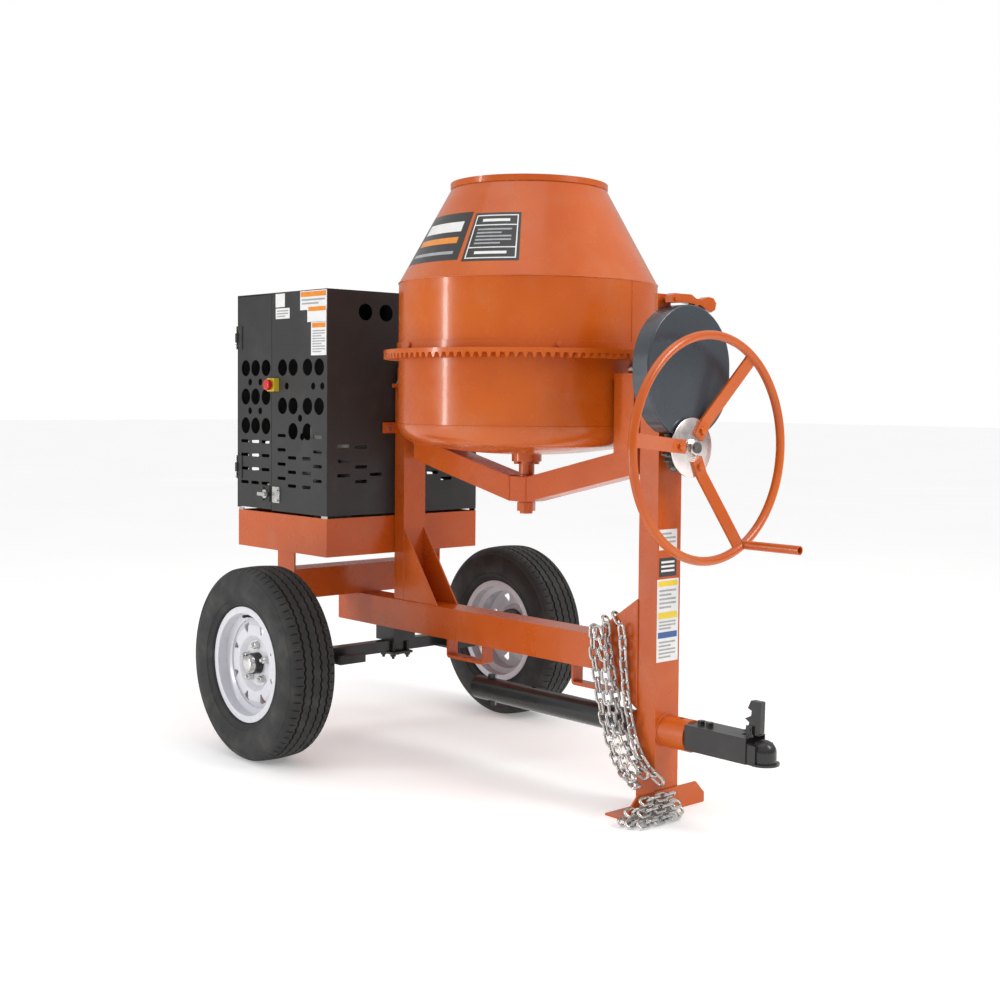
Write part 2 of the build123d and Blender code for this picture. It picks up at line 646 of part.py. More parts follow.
def handwheel_hub():
    """Disc on a sleeve, washer and nut, and the three spoke bolts."""
    back, front = HUB_X
    bore = rod_x((1280, 1400), 0, WHEEL_Z, 15)
    disc = rod_x((back, front), 0, WHEEL_Z, 82) + rod_x((GEAR_X[1] + 2, back), 0, WHEEL_Z, 22)
    washer = rod_x((front, front + 3), 0, WHEEL_Z, 25)
    nut = hex_x((front + 3, front + 15), 0, WHEEL_Z, 41)
    solids = [disc - bore, washer - bore, nut - bore]
    for angle in SPOKES:
        y, z = 56 * math.cos(math.radians(angle)), WHEEL_Z + 56 * math.sin(math.radians(angle))
        solids.append(hex_x((front + 8, front + 16), y, z, 19))
        solids.append(hex_x((back - 4.5, back), y, z, 19))
    return solids


def crank_handle():
    angle = math.radians(-62)
    y, z = HAND_R * math.cos(angle), WHEEL_Z + HAND_R * math.sin(angle)
    tube = rod_x((HAND_X, 1582), y, z, 12.5) - rod_x((HAND_X + 30, 1590), y, z, 9.5)
    return tube - Pos(HAND_X, 0, WHEEL_Z) * Rot(0, 90, 0) * Torus(HAND_R, HAND_TUBE)


def tilt_pinion():
    pitch = GEAR_M * HAND_TEETH / 2
    face = gear_face(HAND_TEETH, pitch - 7.5, pitch + 5, 0.35, 0.105, math.pi / 2 + math.pi / HAND_TEETH)
    gear = Pos(0, 0, WHEEL_Z) * extrude(Plane.YZ.offset(GEAR_X[0]) * face, GEAR_X[1] - GEAR_X[0])
    shaft = rod_x((1150, HUB_X[1] + 22), 0, WHEEL_Z, 15)
    collar = rod_x((1152, 1164), 0, WHEEL_Z, 22) - rod_x((1150, 1170), 0, WHEEL_Z, 15)
    return gear + shaft, collar


# ---------------------------------------------------------------------------
# Road wheels.  Each is drawn about the Z axis with its outer side up, then
# laid over and moved to its side of the axle.
# ---------------------------------------------------------------------------
def place(side, solid):
    upright = Rot(-90, 0, 0) if side > 0 else Rot(90, 0, 0)
    return Pos(0, side * TRACK / 2, TYRE_R) * upright * solid


def spun(points):
    return revolve(Plane.XZ * Polygon(*points, align=None), Axis.Z)


def tyre():
    outline = (
        (165, -61), (183, -61.5), (190, -72), (212, -82), (245, -87), (275, -83), (296, -72), (305, -58),
        (305, 58), (296, 72), (275, 83), (245, 87), (212, 82), (190, 72), (183, 61.5), (165, 61), (165, 44),
        (190, 62), (240, 76), (270, 72), (288, 54), (288, -54), (270, -72), (240, -76), (190, -62), (165, -44),
    )
    body = spun(outline)
    for w in (-42, -15, 15, 42):
        body -= ring_z((w - 3.5, w + 3.5), 320, 298)
    return body


def rim():
    barrel = (
        (182, -66), (182, -62), (165, -61), (165, -32), (146, -24), (146, 24), (165, 32), (165, 61),
        (182, 62), (182, 66), (161, 66), (161, 34), (142, 26), (142, -26), (161, -34), (161, -66),
    )
    disc = ((34, 14), (34, 18), (72, 18), (88, 32), (120, 32), (142, 22), (142, 16), (118, 27), (91, 27), (75, 14))
    wheel = spun(barrel) + spun(disc)
    window = Polygon((-17, 130), (17, 130), (0, 96), align=None)
    for k in range(8):
        cut = Rot(0, 0, 45 * k + 22.5) * extrude(fillet(window.vertices(), 4), 60, dir=(0, 0, 1))
        wheel -= cut
    for k in range(5):
        angle = math.radians(72 * k + 90)
        wheel -= rod_z(57 * math.cos(angle), 57 * math.sin(angle), (0, 40), 6.5)
    return wheel


def wheel_hub():
    """Hub with studs and nuts, grease cap, and the valve."""
    hub = rod_z(0, 0, (-42, 14), 50) + rod_z(0, 0, (14, 42), 33.5) + rod_z(0, 0, (2, 14), 72)
    hub -= rod_z(0, 0, (-60, 38), 16 + RUN)
    cap = rod_z(0, 0, (42, 56), 25)
    cap = fillet(cap.edges().group_by(Axis.Z)[-1], 8)
    solids = [hub, cap]
    for k in range(5):
        angle = math.radians(72 * k + 90)
        x, y = 57 * math.cos(angle), 57 * math.sin(angle)
        solids.append(hex_z(x, y, (18, 34), 19) + rod_z(x, y, (14, 38), 6))
    solids.append(rod_z(0, 152, (38, 62), 4.5))
    return solids


# ---------------------------------------------------------------------------
# Tow pole, coupler and its latch
# ---------------------------------------------------------------------------
BALL_X, BALL_Z = 1585.0, 230.0
LATCH_AT = (1548.0, 285.0)
CHANNEL_Z = (198.0, 267.0)


def tow_tube():
    tube = rod_x((440, 1420), 0, POLE_Z, POLE_R) - rod_x((430, 1430), 0, POLE_Z, POLE_R - 5.5)
    for x in (504, 702, 1302):
        tube -= rod_z(x, 0, (100, 300), 8)
    shank = rod_z(504, 0, (182, 274), 8)
    head = hex_z(504, 0, (POLE_Z + POLE_R - 1, 276), 24)
    nut = hex_z(504, 0, (178, POLE_Z - POLE_R + 1), 24)
    bolt = (shank + head + nut) - (rod_x((430, 600), 0, POLE_Z, POLE_R) - rod_x((430, 600), 0, POLE_Z, POLE_R - 5.5)
                                   - rod_z(504, 0, (100, 300), 8))
    return tube, bolt


def coupler_body():
    """Channel over the tube, ball dome, lower lip and two latch ears."""
    low, high = CHANNEL_Z
    channel = block((1345, 1556), (-41, 41), CHANNEL_Z) - block((1340, 1560), (-36.6, 36.6), (low - 2, high - 2.4))
    channel -= rod_x((1340, 1421), 0, POLE_Z, POLE_R)
    dome = Pos(BALL_X, 0, BALL_Z) * Sphere(33) + rod_z(BALL_X, 0, (low, BALL_Z), 33)
    lip = rod_z(BALL_X, 0, (low, low + 6), 41)
    neck = block((1540, BALL_X), (-38, 38), (low, 250)) - block((1530, 1550), (-36.6, 36.6), (low - 2, 252))
    body = (dome + lip + neck) - Pos(BALL_X, 0, BALL_Z) * Sphere(26.2) - rod_z(BALL_X, 0, (180, BALL_Z), 26.2)
    x, z = LATCH_AT
    ears = block((x - 12, x + 8), (-16, -10), (high, z + 10)) + block((x - 12, x + 8), (10, 16), (high, z + 10))
    ears -= rod_y(x, (-20, 20), z, 4)
    pin = rod_y(x, (-18, 18), z, 4)
    bolts = [hex_z(bx, 0, (high, high + 10), 19) for bx in (1370, 1400)]
    slot = block((1514, 1562), (-10, 10), (251, high + 1))
    return [(channel + body) - slot + ears, pin] + bolts


def coupler_latch():
    """Upright hooked lever; its heel turns down through the slot in the channel."""
    x, z = LATCH_AT
    outline = (
        (1572, 272), (1578, 278), (1580, 361), (1546, 361), (1536, 340), (1549, 334), (1547, 321), (1527, 311),
        (1541, 303), (1538, 290), (1520, 277), (1540, 272),
    )
    return side_plate(outline, (-9, 9)) - rod_y(x, (-12, 12), z, 4 + RUN)


# ---------------------------------------------------------------------------
# Tilt lock
# ---------------------------------------------------------------------------
LOCK_PIN = (-46.0, 1421.0)


def lock_bracket():
    bar = block((FRONT_POST[1], 1256), (-72, -20), (1165, 1436))
    return bar + rod_x((1256, 1300), LOCK_PIN[0], LOCK_PIN[1], 6)


def tilt_lock_lever():
    outline = (
        (-60, 1411), (-60, 1430), (-50, 1436), (20, 1436), (40, 1426), (62, 1424), (90, 1433), (112, 1431),
        (124, 1417), (120, 1399), (104, 1391), (80, 1398), (60, 1409), (48, 1410), (46, 1389), (36, 1389),
        (34, 1410), (0, 1413), (-40, 1410),
    )
    lever = face_plate(outline, (1272, 1296))
    return lever - rod_x((1260, 1310), LOCK_PIN[0], LOCK_PIN[1], 6 + RUN)


# ---------------------------------------------------------------------------
# Safety chains: rigid links laid along routes chosen by hand
# ---------------------------------------------------------------------------
WIRE_R = 4.2
LINK_HALF = 10.5
LINK_STRAIGHT = 18.8
LINK_PITCH = 30.8


def chain_link():
    """One link along X, lying in the XY plane."""
    half = LINK_STRAIGHT / 2
    sides = [rod_x((-half, half), y, 0, WIRE_R) for y in (-LINK_HALF, LINK_HALF)]
    section = Plane.XZ * Pos(LINK_HALF, 0) * Circle(WIRE_R)
    bend = revolve(section, Axis.Z, 180)
    front = Pos(half, 0, 0) * Rot(0, 0, -90) * bend
    rear = Pos(-half, 0, 0) * Rot(0, 0, 90) * bend
    return (sides[0] + sides[1] + front + rear).solids()[0]


def lay_chain(link, route, first_twist, count=None):
    """Links end to end along a polyline, each a quarter turn from the last."""
    path = Polyline(*route)
    total = path.length
    links = []
    number = int(total / LINK_PITCH) if count is None else count
    for k in range(number):
        start = path.position_at((k * LINK_PITCH) / total)
        end = path.position_at(min(1.0, ((k + 1) * LINK_PITCH) / total))
        along = (end - start).normalized()
        side = Vector(0, 1, 0) if abs(along.Y) < 0.8 else Vector(1, 0, 0)
        frame = Plane(origin=(start + end) * 0.5, x_dir=along, z_dir=along.cross(side))
        turn = Rot(first_twist + 90 * (k % 2), 0, 0)
        links.append(frame * turn * link)
    return links


def edge_link(link, hole):
    """A link hooked through a hole near the sloping edge of the near gusset."""
    x, z = hole
    normal = Vector(-0.561, 0, 0.828)
    centre = Vector(x, -48, z) + normal * ((LINK_STRAIGHT + 2 * LINK_HALF) / 2)
    frame = Plane(origin=centre, x_dir=normal, z_dir=normal.cross(Vector(0, 1, 0)))
    return frame * link


STRANDS = (
    ((1024, -72, 500), (1019, -70, 462), (1022, -70, 425), (1036, -70, 362), (1049, -70, 306), (1062, -70, 251),
     (1083, -70, 197), (1106, -72, 150), (1136, -80, 118), (1174, -92, 100), (1218, -108, 90), (1264, -120, 85)),
    ((1058, -94, 502), (1076, -100, 468), (1097, -100, 418), (1106, -100, 334), (1119, -100, 268), (1146, -102, 202),
     (1180, -108, 154), (1219, -126, 122), (1266, -146, 106)),
    ((1072, -70, 512), (1074, -70, 480), (1080, -70, 443), (1092, -70, 393), (1105, -70, 344), (1120, -70, 289),
     (1132, -70, 240), (1151, -72, 194), (1183, -76, 154), (1222, -84, 122), (1272, -92, 110)),
    ((1130, -70, 512), (1137, -69, 479), (1139, -69, 429), (1146, -69, 367), (1154, -69, 312), (1167, -69, 258),
     (1183, -69, 207), (1205, -69, 162), (1242, -68, 126), (1290, -60, 94)),
)
HEAP_LAYERS = (
    (13.5, 90.0, ((1268, -100), (1294, -100), (1320, -112)), (7, 7, 5)),
    (38.5, 90.0, ((1281, -104), (1307, -96)), (6, 5)),
    (63.5, 90.0, ((1294, -90),), (4,)),
)


def safety_chains():
    """Four hanging strands and the heap they end in, in front of the foot."""
    link = chain_link()
    links = [edge_link(link, (1104, 512)), edge_link(link, (1064, 496))]
    for k, route in enumerate(STRANDS):
        links.extend(lay_chain(link, route, 20 + 25 * k))
    for height, heading, middles, counts in HEAP_LAYERS:
        dx, dy = math.cos(math.radians(heading)), math.sin(math.radians(heading))
        for (x, y), count in zip(middles, counts):
            reach = count * LINK_PITCH / 2
            row = ((x - dx * reach, y - dy * reach, height), (x + dx * reach, y + dy * reach, height))
            links.extend(lay_chain(link, row, 45, count))
    return links


def frame_bolts():
    """Fixed fasteners of the bearings, the tab, the pan and the chain plate."""
    solids = []
    for x, y in ((76.0, 51.0), (1209.0, 45.0)):
        for side in (-y, y):
            solids.append(hex_z(x, side, (POST_TOP + 14, POST_TOP + 24), 14))
    tab_x = REAR_POST[0]
    solids.append(hex_x((tab_x + 5, tab_x + 13), -72, 1046, 17) + rod_x((tab_x - 5, tab_x + 5), -72, 1046, 5.5))
    for y in (-30, 30):
        for z in (1128, 1152):
            solids.append(hex_x((COVER_X[0] + SHEET, COVER_X[0] + SHEET + 5), y, z, 11))
    return solids


# ---------------------------------------------------------------------------
# Write every node
# ---------------------------------------------------------------------------
def build_frame():
    save("spine_beam", spine_beam())
    save("rear_post", rear_post())
    save("rear_gussets", *rear_gussets())
    save("front_gussets", *front_gussets())
    save("cross_beam", cross_beam())
    save("pan_legs", *pan_legs())
    save("engine_pan", engine_pan())
    save("front_post", front_post())
    save("foot_plate", foot_plate())
    save("tow_sleeve", tow_sleeve())
    save("fork_pockets", *fork_pockets())
    save("axle_beam", *axle_beam())
    save("axle_saddle", *axle_saddle())
    save("shaft_bearings", *shaft_bearings())
    save("gear_cover", *gear_cover())
    save("lock_bracket", lock_bracket())
    save("safety_chains", *safety_chains())
    save("frame_bolts", *frame_bolts())


def build_engine():
    save("housing_end_panels", *housing_end_panels())
    save("housing_top", housing_top())
    save("housing_side_panels", *housing_side_panels())
    save("housing_spacers", *housing_feet())
    save("door_hardware", *door_hardware())
    save("engine_block", *engine_block())
    save("engine_fittings", *engine_fittings())
    save("fuel_tank", fuel_tank())
    save("muffler", muffler())
    save("drive_belt", drive_belt())
    save("estop_base", estop_base())
    save("near_door", *near_door())
    save("door_latch", door_latch())
    save("estop_button", estop_button())
    save("engine_pulley", engine_pulley())


def build_mixer():
    save("yoke_bars", *yoke_bars())
    save("yoke_uprights", *yoke_uprights())
    save("yoke_hub", yoke_hub())
    save("trunnions", *trunnions())
    save("tilt_gear", tilt_gear())
    save("drum_dish", drum_dish())
    save("drum_cylinder", drum_cylinder())
    save("drum_cone", drum_cone())
    save("ring_gear", *ring_gear())
    save("mixing_blades", *mixing_blades())
    save("drum_shaft", *drum_shaft())
    save("drive_pinion", drive_pinion())
    save("driven_pulley", driven_pulley())
    save("handwheel_rim", handwheel_rim())
    save("handwheel_hub", *handwheel_hub())
    save("crank_handle", crank_handle())
    save("tilt_pinion", *tilt_pinion())
    save("tilt_lock_lever", tilt_lock_lever())


def build_running_gear():
    for name, side in (("near", -1), ("far", 1)):
        save(name + "_tyre", place(side, tyre()))
        save(name + "_rim", place(side, rim()))
        save(name + "_hub", *[place(side, s) for s in wheel_hub()])
    save("tow_tube", *tow_tube())
    save("coupler_body", *coupler_body())
    save("coupler_latch", coupler_latch())


build_frame()
build_engine()
build_mixer()
build_running_gear()
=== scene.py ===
import bmesh
import bpy
import json
import math
from mathutils import Matrix, Vector


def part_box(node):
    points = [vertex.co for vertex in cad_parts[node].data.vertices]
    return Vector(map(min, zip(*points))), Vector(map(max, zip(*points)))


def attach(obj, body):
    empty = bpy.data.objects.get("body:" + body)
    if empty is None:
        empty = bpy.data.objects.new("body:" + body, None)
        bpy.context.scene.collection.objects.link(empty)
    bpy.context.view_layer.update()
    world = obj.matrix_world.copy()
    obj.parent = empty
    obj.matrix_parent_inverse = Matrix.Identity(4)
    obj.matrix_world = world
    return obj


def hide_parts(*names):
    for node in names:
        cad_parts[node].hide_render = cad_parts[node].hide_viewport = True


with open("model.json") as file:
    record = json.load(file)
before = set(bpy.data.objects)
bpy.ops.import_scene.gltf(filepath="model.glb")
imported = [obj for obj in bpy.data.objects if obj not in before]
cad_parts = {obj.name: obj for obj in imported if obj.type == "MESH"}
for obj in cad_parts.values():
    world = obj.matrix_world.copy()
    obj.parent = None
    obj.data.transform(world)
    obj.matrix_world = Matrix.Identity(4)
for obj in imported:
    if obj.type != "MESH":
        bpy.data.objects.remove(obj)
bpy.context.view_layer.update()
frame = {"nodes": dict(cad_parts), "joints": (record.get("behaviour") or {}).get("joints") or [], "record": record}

# ---------------------------------------------------------------------------
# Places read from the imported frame, in metres
# ---------------------------------------------------------------------------
MM = 0.001


def centre(node):
    low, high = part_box(node)
    return (low + high) / 2


def joint_at(name):
    found = [j for j in frame["joints"] if j["name"] == name][0]
    return Vector(found["pos_m"])


DRUM_AXIS = centre("drum_cylinder")
DRUM_R = (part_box("drum_cylinder")[1].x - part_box("drum_cylinder")[0].x) / 2
WHEEL_AXIS = joint_at("handwheel_turn")
AXLE_X = centre("near_tyre").x


def at(x, y, z):
    """A point given in millimetres forward of the axle, across and up."""
    return Vector((AXLE_X + x * MM, y * MM, z * MM))


# ---------------------------------------------------------------------------
# Camera
# ---------------------------------------------------------------------------
def add_camera():
    data = bpy.data.cameras.new("camera")
    data.lens = 51.76
    data.sensor_width = 36.0
    data.shift_x = -0.0351
    data.shift_y = -0.0404
    data.clip_end = 100.0
    cam = bpy.data.objects.new("camera", data)
    forward = Vector((-0.7332, 0.6787, -0.0417)).normalized()
    up = Vector((-0.0371, 0.0213, 0.9991)).normalized()
    right = forward.cross(up).normalized()
    up = right.cross(forward)
    turn = Matrix((right, up, -forward)).transposed()
    cam.matrix_world = Matrix.Translation((AXLE_X + 3.9042, -2.9719, 1.1448)) @ turn.to_4x4()
    bpy.context.scene.collection.objects.link(cam)
    bpy.context.scene.camera = cam
    bpy.context.scene.view_settings.view_transform = "Standard"


add_camera()


# ---------------------------------------------------------------------------
# Materials
# ---------------------------------------------------------------------------
class Finish:
    """A procedural finish built up node by node in object space."""

    def __init__(self, name):
        self.material = bpy.data.materials.new(name)
        self.material.use_nodes = True
        self.tree = self.material.node_tree
        self.shader = self.tree.nodes["Principled BSDF"]
        self.coords = self.node("ShaderNodeTexCoord").outputs["Object"]

    def node(self, kind, **settings):
        made = self.tree.nodes.new(kind)
        for key, value in settings.items():
            setattr(made, key, value)
        return made

    def link(self, source, target):
        self.tree.links.new(source, target)

    def noise(self, scale, detail=3.0, rough=0.55, stretch=None, distortion=0.0):
        made = self.node("ShaderNodeTexNoise")
        made.inputs["Scale"].default_value = scale
        made.inputs["Detail"].default_value = detail
        made.inputs["Roughness"].default_value = rough
        made.inputs["Distortion"].default_value = distortion
        if stretch:
            mapping = self.node("ShaderNodeMapping")
            mapping.inputs["Scale"].default_value = stretch
            self.link(self.coords, mapping.inputs["Vector"])
            self.link(mapping.outputs["Vector"], made.inputs["Vector"])
        else:
            self.link(self.coords, made.inputs["Vector"])
        return made.outputs["Fac"]

    def span(self, value, low, high, to_low=0.0, to_high=1.0):
        made = self.node("ShaderNodeMapRange")
        made.inputs["From Min"].default_value = low
        made.inputs["From Max"].default_value = high
        made.inputs["To Min"].default_value = to_low
        made.inputs["To Max"].default_value = to_high
        self.link(value, made.inputs["Value"])
        return made.outputs["Result"]

    def times(self, a, b):
        made = self.node("ShaderNodeMath", operation="MULTIPLY")
        self.link(a, made.inputs[0])
        if isinstance(b, float):
            made.inputs[1].default_value = b
        else:
            self.link(b, made.inputs[1])
        return made.outputs["Value"]

    def mix(self, factor, a, b):
        made = self.node("ShaderNodeMix", data_type="RGBA")
        self.link(factor, made.inputs["Factor"])
        for value, socket in ((a, made.inputs[6]), (b, made.inputs[7])):
            if isinstance(value, tuple):
                socket.default_value = (*value, 1.0)
            else:
                self.link(value, socket)
        return made.outputs[2]

    def edges(self, radius):
        """Mask that is 1 on convex and concave edges, from a bevelled normal."""
        bevel = self.node("ShaderNodeBevel", samples=4)
        bevel.inputs["Radius"].default_value = radius
        plain = self.node("ShaderNodeNewGeometry")
        dot = self.node("ShaderNodeVectorMath", operation="DOT_PRODUCT")
        self.link(bevel.outputs["Normal"], dot.inputs[0])
        self.link(plain.outputs["Normal"], dot.inputs[1])
        return self.span(dot.outputs["Value"], 0.995, 0.85)

    def bumps(self, layers, bevel):
        """Stack bump layers (height, strength, distance) on a softened normal."""
        soft = self.node("ShaderNodeBevel", samples=4)
        soft.inputs["Radius"].default_value = bevel
        normal = soft.outputs["Normal"]
        for height, strength, distance in layers:
            made = self.node("ShaderNodeBump")
            made.inputs["Strength"].default_value = strength
            made.inputs["Distance"].default_value = distance
            self.link(height, made.inputs["Height"])
            self.link(normal, made.inputs["Normal"])
            normal = made.outputs["Normal"]
        self.link(normal, self.shader.inputs["Normal"])

    def base(self, color):
        self.link(color, self.shader.inputs["Base Color"])

    def rough(self, low, high, scale):
        self.link(self.span(self.noise(scale), 0.3, 0.7, low, high), self.shader.inputs["Roughness"])

    def put(self, **values):
        for key, value in values.items():
            self.shader.inputs[key.replace("_", " ")].default_value = value
        return self.material


def paint(name, deep, light, rough=(0.24, 0.34), coat=0.35, edge_wear_and_highlight=None, peel=0.05, dents=0.0):
    """Sprayed enamel: two close tints, orange peel, dust, and lightened edges that are partly thin wear, partly
    painted highlight.
    """
    f = Finish(name)
    tone = f.mix(f.span(f.noise(2.4), 0.35, 0.65), deep, light)
    dusty = f.times(f.span(f.noise(9.0, 5.0), 0.52, 0.78), 0.10)
    tone = f.mix(dusty, tone, (0.46, 0.36, 0.27) if deep[0] > 0.3 else (0.16, 0.155, 0.15))
    # Edge mask times noise: the lightened edges are partly wear, partly a painted highlight along the edges.
    wear_and_highlight = f.times(f.edges(0.0022), f.span(f.noise(60.0, 4.0), 0.52, 0.68))
    tone = f.mix(f.times(wear_and_highlight, 0.55), tone, edge_wear_and_highlight or tuple(min(1.0, c * 1.9 + 0.03) for c in light))
    f.base(tone)
    f.rough(rough[0], rough[1], 14.0)
    layers = [(f.noise(420.0, 2.0), peel, 0.0006), (f.noise(38.0, 2.0), 0.10, 0.0006)]
    if dents:
        layers.append((f.noise(5.5, 1.0), dents, 0.012))
    f.bumps(layers, 0.0014)
    return f.put(Coat_Weight=coat, Coat_Roughness=0.08, Specular_IOR_Level=0.36)


def metal(name, deep, light, rough=(0.22, 0.42), grain=180.0, stretch=None, bump=0.12, tint=None):
    """Bare or plated metal with blotches, fine scratches and dull patches."""
    f = Finish(name)
    tone = f.mix(f.span(f.noise(24.0, 5.0), 0.35, 0.65), deep, light)
    if tint:
        tone = f.mix(f.times(f.span(f.noise(46.0, 2.0), 0.5, 0.72), 0.5), tone, tint)
    f.base(tone)
    f.rough(rough[0], rough[1], 55.0)
    f.bumps([(f.noise(grain, 3.0, stretch=stretch), bump, 0.0005)], 0.0009)
    return f.put(Metallic=1.0)


def rubber(name, deep, light, rough=(0.6, 0.82), grain=260.0, dust=(0.10, 0.095, 0.085)):
    """Moulded rubber: matt black, fine skin texture and dry dust."""
    f = Finish(name)
    tone = f.mix(f.span(f.noise(5.0, 4.0), 0.3, 0.7), deep, light)
    tone = f.mix(f.times(f.span(f.noise(17.0, 6.0), 0.5, 0.8), 0.35), tone, dust)
    f.base(tone)
    f.rough(rough[0], rough[1], 20.0)
    f.bumps([(f.noise(grain, 3.0), 0.25, 0.0006), (f.noise(70.0, 2.0), 0.10, 0.0008)], 0.0010)
    return f.put(Specular_IOR_Level=0.42)


def plastic(name, deep, light, rough=(0.30, 0.45), grain=500.0, bump=0.12, coat=0.0):
    f = Finish(name)
    f.base(f.mix(f.span(f.noise(18.0, 3.0), 0.3, 0.7), deep, light))
    f.rough(rough[0], rough[1], 30.0)
    f.bumps([(f.noise(grain, 2.0), bump, 0.0004)], 0.0012)
    return f.put(Coat_Weight=coat, Coat_Roughness=0.1)


def cast(name, deep, light, rough=(0.45, 0.65), metallic=0.0, bump=0.35):
    """Cast or scaled iron and aluminium: pebbled skin, uneven gloss."""
    f = Finish(name)
    f.base(f.mix(f.span(f.noise(30.0, 5.0), 0.35, 0.65), deep, light))
    f.rough(rough[0], rough[1], 40.0)
    f.bumps([(f.noise(320.0, 4.0), bump, 0.0008), (f.noise(90.0, 3.0), 0.2, 0.001)], 0.0012)
    return f.put(Metallic=metallic)


def paper(name, color, other):
    """Printed film: nearly even ink under a clear glossy face."""
    f = Finish(name)
    f.base(f.mix(f.span(f.noise(40.0, 2.0), 0.3, 0.7), color, other))
    f.rough(0.28, 0.40, 30.0)
    f.bumps([(f.noise(150.0, 1.0), 0.05, 0.0004)], 0.0004)
    return f.put(Coat_Weight=0.25, Coat_Roughness=0.12)


# Each paint lightens its edges, partly as wear and partly as a painted highlight.
FRAME_PAINT = paint("frame_orange", (0.47, 0.072, 0.005), (0.56, 0.100, 0.007), coat=0.18)
DRUM_PAINT = paint("drum_orange", (0.49, 0.080, 0.005), (0.58, 0.112, 0.007), (0.20, 0.30), 0.28, dents=0.10)
WHEEL_PAINT = paint("wheel_orange", (0.49, 0.080, 0.005), (0.58, 0.112, 0.007), (0.18, 0.28), 0.28)
HOUSING_PAINT = paint("housing_black", (0.022, 0.0215, 0.021), (0.030, 0.029, 0.029), (0.40, 0.52), 0.05,
                      edge_wear_and_highlight=(0.09, 0.09, 0.09), peel=0.22, dents=0.05)
# Dark paint whose blue-grey tint is a painted reflection of sky.
COVER_PAINT_AND_SKY_REFLECTION = paint("cover_grey", (0.040, 0.050, 0.062), (0.052, 0.064, 0.078), (0.22, 0.30), 0.45,
                    edge_wear_and_highlight=(0.14, 0.15, 0.16), dents=0.05)
AXLE_PAINT = paint("axle_black", (0.010, 0.010, 0.010), (0.018, 0.018, 0.018), (0.30, 0.45), 0.2,
                   edge_wear_and_highlight=(0.07, 0.07, 0.07))
TOW_PAINT = paint("tow_black", (0.009, 0.009, 0.010), (0.017, 0.016, 0.016), (0.24, 0.36), 0.3,
                  edge_wear_and_highlight=(0.08, 0.08, 0.08))
RIM_PAINT = paint("rim_white", (0.56, 0.56, 0.61), (0.64, 0.64, 0.68), (0.22, 0.32), 0.4,
                  edge_wear_and_highlight=(0.85, 0.85, 0.86))
GEAR_IRON = cast("gear_iron", (0.10, 0.095, 0.09), (0.20, 0.19, 0.18), (0.35, 0.5), 0.9, 0.15)
SHAFT_STEEL = metal("shaft_steel", (0.34, 0.33, 0.32), (0.52, 0.51, 0.49), (0.25, 0.4), 260.0, (1, 8, 8))
ZINC = metal("zinc_plate", (0.50, 0.50, 0.51), (0.70, 0.69, 0.67), (0.18, 0.34), 160.0,
             tint=(0.66, 0.60, 0.46))
TYRE_RUBBER = rubber("tyre_rubber", (0.016, 0.016, 0.016), (0.026, 0.026, 0.026))
BELT_RUBBER = rubber("belt_rubber", (0.012, 0.012, 0.012), (0.022, 0.022, 0.022), grain=500.0)
ENGINE_CAST = cast("engine_aluminium", (0.22, 0.22, 0.225), (0.34, 0.34, 0.345), (0.4, 0.6), 0.8)
TANK_PLASTIC = plastic("tank_plastic", (0.46, 0.44, 0.38), (0.55, 0.53, 0.47))
MUFFLER_STEEL = metal("muffler_steel", (0.22, 0.19, 0.16), (0.38, 0.34, 0.30), (0.35, 0.55),
                      tint=(0.30, 0.16, 0.08))
# Polished steel with a pinkish tint that is a painted reflection of the orange paint and white surroundings.
DISC_POLISH_AND_REFLECTION = metal("disc_polish_and_reflection", (0.74, 0.66, 0.64), (0.86, 0.79, 0.77), (0.16, 0.28), 90.0)
LABEL_WHITE = paper("label_white", (0.74, 0.74, 0.73), (0.80, 0.80, 0.79))
LABEL_GREY = paper("label_grey", (0.30, 0.31, 0.32), (0.38, 0.39, 0.40))
LABEL_BLACK = paper("label_black", (0.012, 0.012, 0.014), (0.020, 0.020, 0.022))
LABEL_AMBER = paper("label_amber", (0.72, 0.22, 0.012), (0.80, 0.27, 0.016))
LABEL_YELLOW = paper("label_yellow", (0.76, 0.55, 0.02), (0.84, 0.62, 0.03))
LABEL_BLUE = paper("label_blue", (0.020, 0.075, 0.26), (0.026, 0.095, 0.32))
STOP_BODY = plastic("stop_yellow", (0.60, 0.42, 0.02), (0.68, 0.50, 0.03))
STOP_RED = plastic("stop_red", (0.52, 0.012, 0.010), (0.62, 0.022, 0.016), (0.16, 0.26), coat=0.4)

FINISHES = {
    "frame_orange": FRAME_PAINT, "drum_orange": DRUM_PAINT, "wheel_orange": WHEEL_PAINT,
    "housing_black": HOUSING_PAINT, "cover_grey": COVER_PAINT_AND_SKY_REFLECTION, "axle_black": AXLE_PAINT,
    "tow_black": TOW_PAINT, "gear_iron": GEAR_IRON, "shaft_steel": SHAFT_STEEL, "zinc_steel": ZINC,
    "tyre_rubber": TYRE_RUBBER, "rim_white": RIM_PAINT, "engine_aluminium": ENGINE_CAST,
    "tank_plastic": TANK_PLASTIC, "muffler_steel": MUFFLER_STEEL, "belt_rubber": BELT_RUBBER,
    "estop_body": STOP_BODY, "estop_red": STOP_RED,
}


def dress_cad_nodes():
    for part in frame["record"]["subparts"]:
        obj = frame["nodes"][part["node"]]
        obj.data.materials.clear()
        obj.data.materials.append(FINISHES[part["material_slot"]])


dress_cad_nodes()




